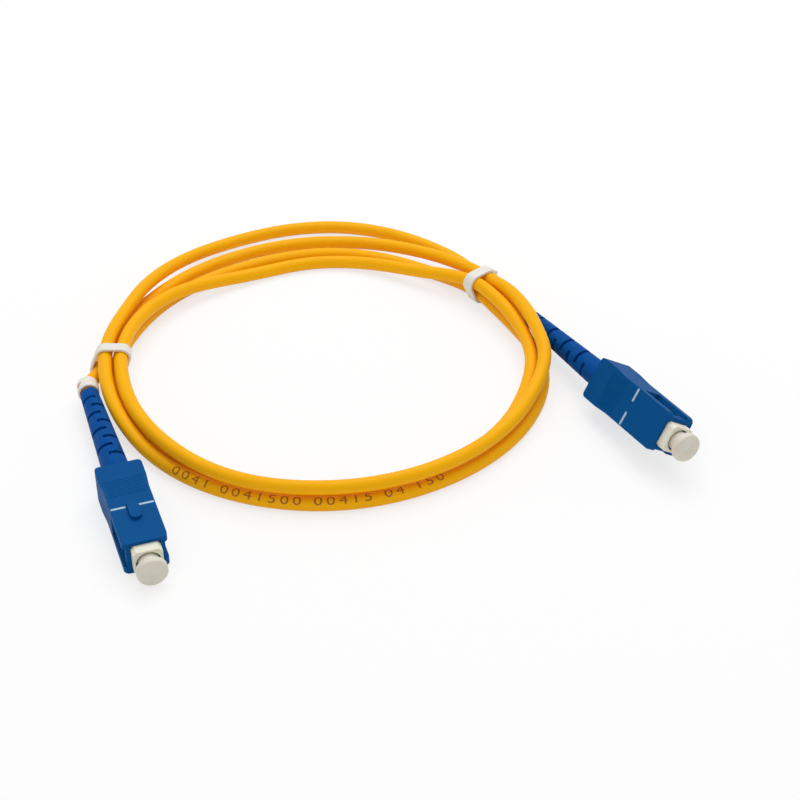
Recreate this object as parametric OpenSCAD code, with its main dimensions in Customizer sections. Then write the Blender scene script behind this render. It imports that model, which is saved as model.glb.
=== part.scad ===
// Simplex fiber optic patch cord: a coiled single-mode cable with an SC plug on each end.
// Millimetres, +Z up. The origin lies on the table under the middle of connector A,
// which lies flat, key up, and points along -Y. Inside a connector, y is the distance
// back from the front face of its outer housing, x is across it and z is its key side.

/* [Cable] */

// Jacket diameter
cord_d = 3; // [2.8:0.1:3]
// Diameter of the tight-buffered fiber inside the connectors
buffer_d = 0.9; // [0.8:0.1:0.9]
// Radius of the circle that the middle of the bundle of turns follows
coil_r = 47; // [46:0.5:48]
// Distance from turn to turn where they lie side by side
turn_pitch = 3.65; // [3.6:0.05:3.75]
// Share of a diameter that each straight end of the coil runs for
coil_lead_in = 1; // [1:0.1:1.2]
// Least gap that the coil keeps to itself
least_gap = 0.4; // [0.4:0.05:0.45]

/* [Connector body] */

// Width of the outer housing
housing_w = 9; // [8.8:0.1:9.2]
// Height of the outer housing without its key
housing_h = 7.4; // [7.2:0.1:7.6]
// Length of the outer housing
housing_l = 25; // [24:0.5:26]
// Width over the finger grips at the back of the outer housing
grip_w = 9.6; // [9.4:0.1:10]
// Radius of the housing's two front corners, seen from above
corner_r = 1.2; // [0.8:0.1:1.5]
// Width of the key
key_w = 2.2; // [2:0.1:2.4]
// Height of the key above its face
key_h = 0.8; // [0.6:0.1:1]
// Width and height of the plug frame
frame_w = 5.8; // [5.6:0.1:6]
// How far the plug frame stands out of the housing
frame_out = 2.2; // [2:0.1:2.4]
// Diameter of the plug frame's front bore
frame_bore = 4.9; // [4.8:0.1:5]
// Gap between the plug frame and the housing that slides on it
slide_gap = 0.06; // [0.04:0.01:0.1]
// How far the housing slides back on the plug frame
housing_travel = 1.5; // [1.3:0.1:1.8]

/* [Ferrule] */

// Diameter of the ceramic ferrule
ferrule_d = 2.5; // [2.5:0.001:2.5]
// Length of the ferrule
ferrule_l = 10.5; // [10.4:0.1:10.6]
// How far the ferrule's tip stands out of the housing
ferrule_out = 2.6; // [2.5:0.1:2.7]
// Diameter of the flange head behind the ferrule
flange_d = 4.3; // [4.2:0.1:4.4]
// Wire diameter of the ferrule spring
wire_d = 0.4; // [0.35:0.05:0.45]
// Number of coils of the ferrule spring
spring_coils = 6; // [5:1:7]

/* [Boot] */

// Diameter of the boot at the housing
boot_d = 5.6; // [5.4:0.1:5.8]
// Diameter of the boot's tail
boot_tail_d = 4; // [3.9:0.1:4.2]
// Length of boot that shows behind the housing
boot_out = 30; // [29:0.5:31]
// Number of staggered half slots that let the boot bend
boot_slots = 8; // [6:1:9]
// Width of a half slot
slot_w = 0.9; // [0.7:0.1:1]

/* [Dust cap] */

// Diameter of the cap's round head
cap_head_d = 6.2; // [6:0.1:6.4]
// Thickness of the cap's head
cap_head_t = 1.6; // [1.5:0.1:1.8]
// Diameter of the cap's neck
cap_neck_d = 4.2; // [4:0.1:4.3]

/* [Ties and marker] */

// Width of a tie band along the cable
tie_w = 2.6; // [2.4:0.1:2.8]
// Thickness of a tie band
tie_t = 0.6; // [0.5:0.1:0.6]
// Gap between a tie band and the turns inside it
tie_gap = 0.28; // [0.25:0.01:0.3]
// Outer diameter of the marker ring
ring_d = 4.6; // [4.4:0.1:4.8]
// Length of the marker ring
ring_l = 3.6; // [3.2:0.1:3.8]

/* [Hidden] */

$fn = 48;
running_fit = 0.04;   // radial clearance of parts that slide or turn on each other
seat_gap = 0.1;       // gap between faces that stop against each other
eps = 0.01;

jacket_yellow = [0.98, 0.65, 0.02];
housing_blue = [0.02, 0.32, 0.62];
boot_blue = [0.05, 0.3, 0.62];
frame_cream = [0.94, 0.92, 0.84];
cap_cream = [0.83, 0.79, 0.73];
tie_white = [0.92, 0.91, 0.88];
ceramic_white = [0.95, 0.95, 0.96];
metal_grey = [0.72, 0.72, 0.74];

// where things lie along a connector
window_front = 1.7;      // front and back end of the side windows
window_back = 10.7;
window_h = 4.4;
bar_w = 7.7;             // width over the thin bars that close the windows in front
grip_front = 16;         // where the housing starts to widen
grip_full = 20;
key_front = 6.5;
key_back = 11.5;
mark_y = 11;             // the line of the two marks on each broad face
mark_l = 3.1;
mark_w = 0.65;
mark_x = 2.8;
ridge_first = 14.5;      // fine ridges for the fingers
ridge_pitch = 0.7;
ridge_count = 8;
ridge_w = 7.8;
cut_deep = 0.1;
frame_back = 17.4;
frame_chamfer = 0.7;
ledge_front = 3.4;       // ledge that holds the ferrule's flange back
ledge_back = 4.4;
ledge_bore = 3;
spring_room_d = 4.7;
flange_head_back = 6.6;
flange_stem_d = 3.1;
flange_back = 9;
stop_front = 12.9;
stop_collar_back = 18.1;
neck_back = 23.2;
neck_d = 3.9;
crimp_front = 18.6;
crimp_step = 23.6;
crimp_back = 28;
crimp_d = 4.4;
crimp_tail_d = 3.7;
boot_front = 18.2;
boot_collar_back = 29;
boot_tail = housing_l + boot_out;
jacket_front = 23.5;
buffer_front = 9.2;
slot_core_d = 3.55;
slot_past_middle = 0.7;  // how far a half slot reaches past the boot's middle
ferrule_back = ferrule_l - ferrule_out;
cap_stand_off = 1.8;     // how far the cap's head stays clear of the plug frame
cap_head_back = -frame_out - cap_stand_off;
cap_neck_end = 2.6;
cap_hole_front = -ferrule_out - 0.4;

// connector A lies flat, and connector B leans on one edge with its tail down
axis_z = housing_h / 2;
yaw_b = 8.4;
roll_b = 122.2;
pitch_b = 4;
lean_z = grip_w / 2 * sin(roll_b) - housing_h / 2 * cos(roll_b);
front_b = [108.9, -16.8, lean_z + housing_l * sin(pitch_b)];
back_b = [-sin(yaw_b) * cos(pitch_b), cos(yaw_b) * cos(pitch_b), -sin(pitch_b)];

// The coil starts at the left tie and runs clockwise, seen from above. Each row below
// is one turn, and each entry says how the turn lies at one station of the circle:
// its lane is in turn pitches outward from coil_r, its layer in pitches above the table.
coil_center = [53.3, 39.1];
tie_left_angle = 163;
tie_left_turn = -0.8;
tie_right_turn = 143;
stations = [0, 20, 35, 62, 92, 120, 143, 153, 164, 175, 187, 208, 240, 270, 295, 320, 345];
lanes = [
    [1.05, 0.85, 0.85, 1.1, 1.3, 0.5, -0.3, -0.25, -0.35, -0.25, 0.05, -0.15, 0, 0.2, 0.3, -0.1, -0.3],
    [-0.3, -0.45, -0.75, -1.45, -1.2, -1.75, -1.3, -1.2, -1.05, -0.82, -0.7, -0.88, -0.84, -0.6, -0.5, -0.45, -0.12],
    [0.05, -0.15, -0.15, -0.35, -0.2, -0.75, -0.9, -0.95, -0.75, -0.35, 0, 0.1, 0.14, 0.38, 0.48, 0.53, 0.65],
    [0.65, 0.7, 1.25, 2.75, 3.25, 1.85, 0.1, 0.15, 0.2]
];
layers = [
    [0.25, 0.1, 0, 0, 0, 0.5, 1.2, 1.4, 1.65, 1.65, 1.45, 1.05, 1, 1, 1, 1, 1.1],
    [1.2, 1.05, 0.8, 0.1, 0, 0.5, 1.2, 1.15, 1, 0.85, 0.72, 0.05, 0, 0, 0, 0, 0.1],
    [0.25, 0.1, 0, 0, 0, 0, 0.25, 0.1, 0, 0, 0, 0, 0, 0, 0, 0.15, 0.95],
    [1.25, 1.1, 0.95, 0.1, 0, 0, 0.25, 0.25, 0.45]
];
full_turn = 360;
tied_strands = 4;
turn_start = -2.5;
turn_step = 15;
turn_steps = 82;
coil_sides = 6;
lead_sides = 8;

// middle line of the jacket from the boot of A to the coil
lead_a_route = [
    [0, -housing_l / 2 + jacket_front, axis_z],
    [0, -housing_l / 2 + boot_tail, axis_z],
    [0.05, 44, 3.68],
    [0.35, 46.4, 3.45],
    [1.05, 47.8, 2.95]
];
// where the jacket bends between the coil and the boot of B
lead_b_bend = [100.2, 43, 3.35];
tab_l = 2;               // the short end of the right band
tab_raise = 0.1;
tab_slant = 35;
ring_gap = 0.3;          // between the marker ring and the jacket
ring_at = [0.15, 44.65, 3.62];
ring_turn = -6;
ring_tilt = -4;

plan = [for (k = [0 : len(lanes) - 1], j = [0 : len(lanes[k]) - 1])
    [full_turn * k + stations[j], coil_r + turn_pitch * lanes[k][j], cord_d / 2 + turn_pitch * layers[k][j]]];

function unit(v) = v / norm(v);
function slope(j) =
    let (lo = max(j - 1, 0), hi = min(j + 1, len(plan) - 1))
    (plan[hi] - plan[lo]) / (plan[hi][0] - plan[lo][0]);
function plan_index(a, j = 0) = j >= len(plan) - 2 || a < plan[j + 1][0] ? j : plan_index(a, j + 1);
// smooth curve through the stations: angle in, [angle, radius, height] out
function plan_at(a) =
    let (j = plan_index(a), h = plan[j + 1][0] - plan[j][0], t = (a - plan[j][0]) / h)
    (2 * t ^ 3 - 3 * t ^ 2 + 1) * plan[j] + (t ^ 3 - 2 * t ^ 2 + t) * h * slope(j)
    + (3 * t ^ 2 - 2 * t ^ 3) * plan[j + 1] + (t ^ 3 - t ^ 2) * h * slope(j + 1);
function coil_at(a) =
    let (p = plan_at(a))
    [coil_center[0] + p[1] * cos(tie_left_angle - a), coil_center[1] + p[1] * sin(tie_left_angle - a), p[2]];

turns_route = [for (i = [0 : turn_steps]) coil_at(turn_start + turn_step * i)];
coil_start = turns_route[0] + cord_d * coil_lead_in * unit(turns_route[0] - turns_route[1]);
coil_end = turns_route[turn_steps]
    + cord_d * coil_lead_in * unit(turns_route[turn_steps] - turns_route[turn_steps - 1]);
coil_route = concat([coil_start], turns_route, [coil_end]);
coil_in = unit(coil_route[1] - coil_route[0]);
coil_out = unit(coil_end - turns_route[turn_steps]);
tail_b = front_b + boot_tail * back_b;

half_turn = floor(180 / turn_step);
coil_gap = min([for (i = [0 : len(coil_route) - 1], j = [i + half_turn : 1 : len(coil_route) - 1])
    norm(coil_route[i] - coil_route[j])]) - cord_d;
function route_length(p) = [for (i = [1 : len(p) - 1]) norm(p[i] - p[i - 1])] * [for (i = [1 : len(p) - 1]) 1];
lead_a = concat(lead_a_route, [coil_start]);
lead_b = [coil_end, lead_b_bend, tail_b, front_b + jacket_front * back_b];
echo(least_gap_of_coil = coil_gap, wide_enough = coil_gap > least_gap);
echo(jacket_length = route_length(lead_a) + route_length(coil_route) + route_length(lead_b));
echo(coil_start = coil_start, coil_end = coil_end, tail_b = tail_b);

// ring of points square to a direction, with its first point level with the middle
function ring_points(p, dir, r, sides) =
    let (side = unit(cross(dir, [0, 0, 1])), up = cross(side, dir))
    [for (k = [0 : sides - 1]) p + r * (cos(360 * k / sides) * side + sin(360 * k / sides) * up)];

// one unbroken tube along a route, whose end faces stand square to the given directions
module tube_along(route, d, sides, first, last) {
    n = len(route);
    dirs = [for (i = [0 : n - 1])
        i == 0 ? first : i == n - 1 ? last : unit(unit(route[i + 1] - route[i]) + unit(route[i] - route[i - 1]))];
    rings = [for (i = [0 : n - 1]) each ring_points(route[i], dirs[i], d / 2, sides)];
    walls = [for (i = [0 : n - 2], k = [0 : sides - 1])
        let (a = i * sides + k, b = i * sides + (k + 1) % sides)
        each [[a, a + sides, b + sides], [a, b + sides, b]]];
    start_face = [for (k = [1 : sides - 2]) [0, k, k + 1]];
    top = (n - 1) * sides;
    end_face = [for (k = [1 : sides - 2]) [top, top + k + 1, top + k]];
    polyhedron(points = rings, faces = concat(walls, start_face, end_face));
}

// cylinder along y between two distances back from the housing's front face
module rod(d, from, to, d_end = undef) {
    translate([0, from, 0])
        rotate([-90, 0, 0])
            cylinder(h = to - from, d1 = d, d2 = is_undef(d_end) ? d : d_end);
}

module block(w, h, from, to) {
    translate([-w / 2, from, -h / 2]) cube([w, to - from, h]);
}

module place_a() {
    translate([0, -housing_l / 2, axis_z]) children();
}

module place_b() {
    translate(front_b) rotate([0, 0, yaw_b]) rotate([-pitch_b, 0, 0]) rotate([0, roll_b, 0]) children();
}

module housing_outline() {
    translate([-housing_w / 2, corner_r]) square([housing_w, housing_l - corner_r]);
    translate([-housing_w / 2 + corner_r, 0]) square([housing_w - 2 * corner_r, housing_l]);
    for (side = [-1, 1])
        translate([side * (housing_w / 2 - corner_r), corner_r]) circle(r = corner_r);
    polygon([
        [-housing_w / 2, grip_front], [housing_w / 2, grip_front], [grip_w / 2, grip_full],
        [grip_w / 2, housing_l], [-grip_w / 2, housing_l], [-grip_w / 2, grip_full]
    ]);
}

module key() {
    translate([-key_w / 2, key_front + key_w / 2, housing_h / 2 - eps])
        cube([key_w, key_back - key_front - key_w / 2, key_h + eps]);
    translate([0, key_front + key_w / 2, housing_h / 2 - eps]) cylinder(h = key_h + eps, d = key_w);
}

module face_cuts() {
    for (face = [-1, 1]) {
        for (i = [0 : ridge_count - 1])
            translate([-ridge_w / 2, ridge_first + ridge_pitch * i, face * housing_h / 2 - cut_deep])
                cube([ridge_w, ridge_pitch / 2, 2 * cut_deep]);
        for (side = [-1, 1])
            translate([side * mark_x - mark_l / 2, mark_y - mark_w / 2, face * housing_h / 2 - cut_deep])
                cube([mark_l, mark_w, 2 * cut_deep]);
    }
}

module outer_housing() {
    tunnel = frame_w + 2 * slide_gap;
    color(housing_blue) difference() {
        union() {
            translate([0, 0, -housing_h / 2]) linear_extrude(housing_h) housing_outline();
            key();
        }
        block(tunnel, tunnel, -1, housing_l + 1);
        block(grip_w + 1, window_h, window_front, window_back);
        for (side = [-1, 1])
            translate([side * (bar_w + 2) / 2, 0, 0]) block(2, window_h, -1, window_front + eps);
        face_cuts();
    }
}

module plug_frame() {
    a = frame_w / 2;
    b = a - frame_chamfer;
    catch_out = 0.5;
    catch_front = window_front + housing_travel + seat_gap;
    catch_back = window_back - seat_gap;
    color(frame_cream) difference() {
        union() {
            translate([0, -frame_out, 0]) rotate([-90, 0, 0]) linear_extrude(frame_back + frame_out)
                polygon([[a, b], [b, a], [-b, a], [-a, b], [-a, -b], [-b, -a], [b, -a], [a, -b]]);
            for (side = [-1, 1])
                translate([0, 0, -1.5]) linear_extrude(3) polygon([
                    [side * (a - 0.3), catch_front], [side * (a + catch_out), catch_front + 1.5],
                    [side * (a + catch_out), catch_back], [side * (a - 0.3), catch_back]
                ]);
        }
        rod(frame_bore, -frame_out - 1, ledge_front);
        rod(ledge_bore, ledge_front - eps, ledge_back + eps);
        rod(spring_room_d, ledge_back, frame_back + 1);
    }
}

module ferrule() {
    chamfer = 0.5;
    color(ceramic_white) {
        rod(ferrule_d - 2 * chamfer * 0.6, -ferrule_out, -ferrule_out + chamfer, ferrule_d);
        rod(ferrule_d, -ferrule_out + chamfer, ferrule_back);
    }
}

module ferrule_flange() {
    color(metal_grey) difference() {
        union() {
            rod(flange_d, ledge_back, flange_head_back);
            rod(flange_stem_d, flange_head_back, flange_back);
        }
        rod(ferrule_d + eps, ledge_back - 1, ferrule_back + eps);
        rod(buffer_d + 2 * running_fit, ferrule_back, flange_back + 1);
    }
}

module spring() {
    mean_r = 1.9;
    steps = 12;
    from = flange_head_back + wire_d / 2;
    to = stop_front - wire_d / 2;
    count = spring_coils * steps;
    route = [for (i = [0 : count])
        [mean_r * cos(360 * i / steps), from + (to - from) * i / count, mean_r * sin(360 * i / steps)]];
    color(metal_grey)
        tube_along(route, wire_d, 6, unit(route[1] - route[0]), unit(route[count] - route[count - 1]));
}

module stop_ring() {
    color(metal_grey) difference() {
        union() {
            rod(spring_room_d - 2 * running_fit, stop_front, frame_back + eps);
            rod(frame_w - 0.4, frame_back + seat_gap, stop_collar_back);
            rod(spring_room_d - 0.3, frame_back, frame_back + seat_gap + eps);
            rod(neck_d, stop_collar_back - eps, neck_back);
        }
        rod(buffer_d + 0.2, stop_front - 1, neck_back + 1);
    }
}

module crimp_ring() {
    color(metal_grey) difference() {
        union() {
            rod(crimp_d, crimp_front, crimp_step);
            rod(crimp_tail_d, crimp_step - eps, crimp_back);
        }
        rod(neck_d + 2 * running_fit, crimp_front - 1, neck_back + seat_gap);
        rod(cord_d + 2 * running_fit, neck_back, crimp_back + 1);
    }
}

module boot() {
    taper_l = boot_tail - boot_collar_back;
    slot_pitch = (taper_l - 2) / boot_slots;
    color(boot_blue) difference() {
        union() {
            rod(boot_d, boot_front, boot_collar_back);
            rod(boot_d, boot_collar_back - eps, boot_tail, boot_tail_d);
        }
        rod(crimp_d + 2 * running_fit, boot_front - 1, crimp_step + seat_gap);
        rod(crimp_tail_d + 2 * running_fit, crimp_step, crimp_back + seat_gap);
        rod(cord_d + 2 * running_fit, crimp_back, boot_tail + 1);
        for (i = [0 : boot_slots - 1]) {
            y = boot_collar_back + 0.8 + slot_pitch * i;
            side = i % 2 == 0 ? 1 : -1;
            difference() {
                translate([side > 0 ? -slot_past_middle : slot_past_middle - boot_d, y, -boot_d])
                    cube([boot_d, slot_w, 2 * boot_d]);
                rod(slot_core_d, y - 1, y + slot_w + 1);
            }
        }
    }
}

module dust_cap() {
    edge = 0.35;
    color(cap_cream) difference() {
        union() {
            rod(cap_head_d - 2 * edge, cap_head_back - cap_head_t, cap_head_back - cap_head_t + edge, cap_head_d);
            rod(cap_head_d, cap_head_back - cap_head_t + edge, cap_head_back);
            rod(cap_neck_d, cap_head_back - eps, cap_neck_end);
        }
        rod(ferrule_d + 2 * running_fit, cap_hole_front, cap_neck_end + 1);
    }
}

module buffer() {
    color(frame_cream) rod(buffer_d, buffer_front, neck_back + 0.2);
}

module cord_lead_a() {
    color(jacket_yellow) tube_along(lead_a, cord_d, lead_sides, [0, 1, 0], coil_in);
}

module cord_coil() {
    color(jacket_yellow) tube_along(coil_route, cord_d, coil_sides, coil_in, coil_out);
}

module cord_lead_b() {
    color(jacket_yellow) tube_along(lead_b, cord_d, lead_sides, coil_out, -back_b);
}

// where the straight pieces of the coil's tube pass a heading of the circle
function strand_at(a) =
    let (f = (a - turn_start) / turn_step, i = floor(f))
    turns_route[i] + (f - i) * (turns_route[i + 1] - turns_route[i]);
function across_tie(p, heading) =
    [(p[0] - coil_center[0]) * cos(heading) + (p[1] - coil_center[1]) * sin(heading), p[2]];

// outline round all the strands that a tie holds, from its one edge to its other, grown by a margin
module bundle_outline(turn, margin) {
    edge = asin(tie_w / 2 / coil_r);
    hull() for (k = [0 : tied_strands - 1], side = [-1, 1])
        translate(across_tie(strand_at(full_turn * k + turn + side * edge), tie_left_angle - turn))
            circle(d = cord_d + 2 * margin, $fn = 32);
}

module tie(turn, tabbed) {
    heading = tie_left_angle - turn;
    top = across_tie(strand_at(turn), heading);
    color(tie_white)
        translate([coil_center[0], coil_center[1], 0]) rotate([0, 0, heading]) rotate([90, 0, 0])
            translate([0, 0, -tie_w / 2]) {
                linear_extrude(tie_w) difference() {
                    bundle_outline(turn, tie_gap + tie_t);
                    bundle_outline(turn, tie_gap);
                }
                if (tabbed)
                    translate([top[0], top[1], 0]) rotate([0, 0, -tab_slant])
                        translate([0, cord_d / 2 + tie_gap + tab_raise, 0]) cube([tab_l, tie_t, tie_w]);
            }
}

module tie_left() {
    tie(tie_left_turn, false);
}

module tie_right() {
    tie(tie_right_turn, true);
}

module marker_ring() {
    color(tie_white) translate(ring_at) rotate([0, 0, ring_turn]) rotate([ring_tilt, 0, 0])
        difference() {
            rod(ring_d, -ring_l / 2, ring_l / 2);
            rod(cord_d + 2 * ring_gap, -ring_l, ring_l);
        }
}

module outer_housing_a() {
    place_a() outer_housing();
}

module plug_frame_a() {
    place_a() plug_frame();
}

module ferrule_a() {
    place_a() ferrule();
}

module ferrule_flange_a() {
    place_a() ferrule_flange();
}

module spring_a() {
    place_a() spring();
}

module stop_ring_a() {
    place_a() stop_ring();
}

module crimp_ring_a() {
    place_a() crimp_ring();
}

module boot_a() {
    place_a() boot();
}

module dust_cap_a() {
    place_a() dust_cap();
}

module buffer_a() {
    place_a() buffer();
}

module outer_housing_b() {
    place_b() outer_housing();
}

module plug_frame_b() {
    place_b() plug_frame();
}

module ferrule_b() {
    place_b() ferrule();
}

module ferrule_flange_b() {
    place_b() ferrule_flange();
}

module spring_b() {
    place_b() spring();
}

module stop_ring_b() {
    place_b() stop_ring();
}

module crimp_ring_b() {
    place_b() crimp_ring();
}

module boot_b() {
    place_b() boot();
}

module dust_cap_b() {
    place_b() dust_cap();
}

module buffer_b() {
    place_b() buffer();
}

outer_housing_a();
plug_frame_a();
ferrule_a();
ferrule_flange_a();
spring_a();
stop_ring_a();
crimp_ring_a();
boot_a();
dust_cap_a();
buffer_a();
outer_housing_b();
plug_frame_b();
ferrule_b();
ferrule_flange_b();
spring_b();
stop_ring_b();
crimp_ring_b();
boot_b();
dust_cap_b();
buffer_b();
cord_lead_a();
cord_coil();
cord_lead_b();
tie_left();
tie_right();
marker_ring();
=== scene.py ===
import math

import bpy
from mathutils import Matrix, Vector


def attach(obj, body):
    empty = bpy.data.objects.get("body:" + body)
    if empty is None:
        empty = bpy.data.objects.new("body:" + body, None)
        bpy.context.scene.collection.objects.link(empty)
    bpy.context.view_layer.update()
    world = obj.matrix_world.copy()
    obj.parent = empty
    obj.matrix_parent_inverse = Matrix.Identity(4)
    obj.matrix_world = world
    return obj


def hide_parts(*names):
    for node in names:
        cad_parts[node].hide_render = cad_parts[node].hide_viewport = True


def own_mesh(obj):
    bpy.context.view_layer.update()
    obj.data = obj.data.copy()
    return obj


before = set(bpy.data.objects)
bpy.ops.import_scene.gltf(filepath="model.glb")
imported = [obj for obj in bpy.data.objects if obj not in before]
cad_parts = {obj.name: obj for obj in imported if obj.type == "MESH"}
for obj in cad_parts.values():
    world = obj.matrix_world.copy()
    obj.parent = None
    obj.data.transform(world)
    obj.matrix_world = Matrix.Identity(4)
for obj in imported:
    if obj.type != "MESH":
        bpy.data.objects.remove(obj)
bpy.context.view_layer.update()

mm = 0.001          # pieces are shaped in millimetres and settled in metres
past = 1.0          # how far a cutter reaches past the faces it cuts
nearly = 0.01       # slack when edges are picked by their place
axisRadius = 0.02   # a turned piece's closed end stops just short of its axis

# the camera aims at a spot on the table, and azimuth is clockwise from +Y
view = {
    "aim": (64.0, 23.2, 0),
    "distance": 384,
    "azimuth": 19.4,
    "elevation": 36.5,
    "lens": 79.4,
}


def makeCamera():
    turn = math.radians(view["azimuth"])
    tilt = math.radians(view["elevation"])
    ahead = Vector((math.sin(turn) * math.cos(tilt), math.cos(turn) * math.cos(tilt), -math.sin(tilt)))
    spot = (Vector(view["aim"]) - ahead * view["distance"]) * mm
    bpy.ops.object.camera_add(location=spot, rotation=(math.pi / 2 - tilt, 0, -turn))
    camera = bpy.context.object
    camera.data.lens = view["lens"]
    camera.data.clip_start = 0.01
    camera.data.clip_end = 20
    bpy.context.scene.camera = camera


makeCamera()
print("camera set")


# both plugs are shaped along +Y, from the front face of the body, and then put in their places
plug = {
    "bodyWidth": 9.0,
    "bodyHeight": 7.4,
    "bodyLength": 25.0,
    "gripWidth": 9.6,
    "bootTail": 55.0,
    "jacketEnd": 33.5,       # the jacket reaches this far into boot B
    "yaw": 8.4,              # how plug B is turned, tilted and rolled
    "tilt": 4.0,
    "roll": 122.2,
    "frontB": (108.9, -16.8),
}


def degreesMatrix(angle, axis):
    return Matrix.Rotation(math.radians(angle), 4, axis)


def leanHeight():    # of plug B's line, when it leans on one long edge
    roll = math.radians(plug["roll"])
    return plug["gripWidth"] / 2 * math.sin(roll) - plug["bodyHeight"] / 2 * math.cos(roll)


frontHeight = leanHeight() + plug["bodyLength"] * math.sin(math.radians(plug["tilt"]))
places = {
    "a": Matrix.Translation((0, -plug["bodyLength"] / 2, plug["bodyHeight"] / 2)),
    "b": Matrix.Translation((*plug["frontB"], frontHeight)) @ degreesMatrix(plug["yaw"], "Z")
    @ degreesMatrix(-plug["tilt"], "X") @ degreesMatrix(plug["roll"], "Y"),
}


class Wire:    # a socket that can be written in sums

    def __init__(self, finish, socket):
        self.finish = finish
        self.socket = socket

    def sum(self, operation, first, second):
        return self.finish.node("ShaderNodeMath", {"operation": operation}, {0: first, 1: second})

    def __add__(self, other):
        return self.sum("ADD", self, other)

    def __radd__(self, other):
        return self.sum("ADD", other, self)

    def __sub__(self, other):
        return self.sum("SUBTRACT", self, other)

    def __rsub__(self, other):
        return self.sum("SUBTRACT", other, self)

    def __mul__(self, other):
        return self.sum("MULTIPLY", self, other)

    def __rmul__(self, other):
        return self.sum("MULTIPLY", other, self)


class Finish:    # a material with a Principled shader

    def __init__(self, name, fixed):
        self.material = bpy.data.materials.new(name)
        self.material.use_nodes = True
        self.nodes = self.material.node_tree.nodes
        self.links = self.material.node_tree.links
        self.shader = self.nodes["Principled BSDF"]
        self.set(self.shader, fixed)

    def set(self, node, values):    # values and links, by a socket's name or number
        for name, value in values.items():
            if isinstance(value, Wire):
                self.links.new(value.socket, node.inputs[name])
            else:
                node.inputs[name].default_value = value

    def node(self, kind, settings, values, out=0):
        node = self.nodes.new(kind)
        for name, value in settings.items():
            setattr(node, name, value)
        self.set(node, values)
        return Wire(self, node.outputs[out])

    def noise(self, scale, detail, roughness=0.5):    # fixed to the piece, in metres
        where = self.node("ShaderNodeTexCoord", {}, {}, "Object")
        values = {"Vector": where, "Scale": scale, "Detail": detail, "Roughness": roughness}
        return self.node("ShaderNodeTexNoise", {}, values)

    def mixColor(self, share, first, second):    # 6 and 7 are the two colours, and 2 is the mixed one
        return self.node("ShaderNodeMix", {"data_type": "RGBA"}, {0: share, 6: first, 7: second}, 2)

    def bump(self, height, strength, distance):
        values = {"Height": height, "Strength": strength, "Distance": distance}
        return self.node("ShaderNodeBump", {}, values)

    def use(self, values):
        self.set(self.shader, values)
        return self.material


def linear(red, green, blue):    # a colour as a screen shows it, for a shader
    parts = [c / 255 for c in (red, green, blue)]
    return (*[c / 12.92 if c <= 0.04045 else ((c + 0.055) / 1.055) ** 2.4 for c in parts], 1)


moulded = {
    "cloudScale": 160,     # slow changes of tone, some 6 mm across
    "poreScale": 9000,     # the tool's fine texture
    "cloudWear": 0.12,     # how much each changes the roughness
    "poreWear": 0.08,
    "poreDepth": 0.00002,
}
jacketSkin = {
    "color": linear(255, 187, 0),
    "shade": linear(253, 178, 0),
    "gloss": 0.12,
    "cloudScale": 90,
    "skinScale": 2600,
    "roughness": 0.46,
    "wear": 0.16,
    "grain": 0.18,
    "grainDepth": 0.00004,
}
capSkin = {
    "color": linear(228, 224, 210),
    "shade": linear(219, 214, 198),
    "clearness": 0.25,     # the share of light that goes in, and how deep
    "clearDepth": 0.0012,
    "cloudScale": 300,
    "poreScale": 7000,
    "roughness": 0.44,
    "wear": 0.12,
    "grain": 0.2,
    "grainDepth": 0.00002,
}
metalSkin = {"wearScale": 1500, "wearShade": 0.86, "wear": 0.2, "scratchDepth": 0.00001}
ceramicSkin = {
    "color": linear(244, 243, 238),
    "shade": linear(236, 236, 232),
    "clearness": 0.15,
    "clearDepth": 0.0008,
    "cloudScale": 700,
    "roughness": 0.14,
    "wear": 0.06,
}
inkSkin = {
    "color": linear(140, 72, 6),
    "worn": linear(196, 112, 10),
    "wearScale": 2200,
    "roughness": 0.55,
    "wear": 0.2,
}


def mouldedPlastic(name, color, shade, roughness, grain, gloss=0.3):
    finish = Finish(name, {"IOR": 1.49, "Specular IOR Level": gloss})
    clouds = finish.noise(moulded["cloudScale"], 3)
    pores = finish.noise(moulded["poreScale"], 2)
    wear = (clouds - 0.5) * moulded["cloudWear"] + (pores - 0.5) * moulded["poreWear"]
    return finish.use({
        "Base Color": finish.mixColor(clouds, color, shade),
        "Roughness": roughness + wear,
        "Normal": finish.bump(pores, grain, moulded["poreDepth"]),
    })


def jacketPlastic():
    finish = Finish("jacketYellow", {"IOR": 1.5, "Specular IOR Level": jacketSkin["gloss"]})
    clouds = finish.noise(jacketSkin["cloudScale"], 3)
    skin = finish.noise(jacketSkin["skinScale"], 3, 0.6)
    return finish.use({
        "Base Color": finish.mixColor(clouds, jacketSkin["color"], jacketSkin["shade"]),
        "Roughness": jacketSkin["roughness"] + (skin - 0.5) * jacketSkin["wear"],
        "Normal": finish.bump(skin, jacketSkin["grain"], jacketSkin["grainDepth"]),
    })


def capPlastic():
    finish = Finish("capCream", {
        "IOR": 1.46, "Subsurface Weight": capSkin["clearness"], "Subsurface Scale": capSkin["clearDepth"],
    })
    clouds = finish.noise(capSkin["cloudScale"], 3)
    pores = finish.noise(capSkin["poreScale"], 2)
    return finish.use({
        "Base Color": finish.mixColor(clouds, capSkin["color"], capSkin["shade"]),
        "Roughness": capSkin["roughness"] + (clouds - 0.5) * capSkin["wear"],
        "Normal": finish.bump(pores, capSkin["grain"], capSkin["grainDepth"]),
    })


def metal(name, color, roughness, scratches):
    finish = Finish(name, {"Metallic": 1.0})
    wear = finish.noise(metalSkin["wearScale"], 4)
    darker = [c * metalSkin["wearShade"] for c in color[:3]] + [1]
    return finish.use({
        "Base Color": finish.mixColor(wear, color, darker),
        "Roughness": roughness + (wear - 0.5) * metalSkin["wear"],
        "Normal": finish.bump(wear, scratches, metalSkin["scratchDepth"]),
    })


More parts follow.
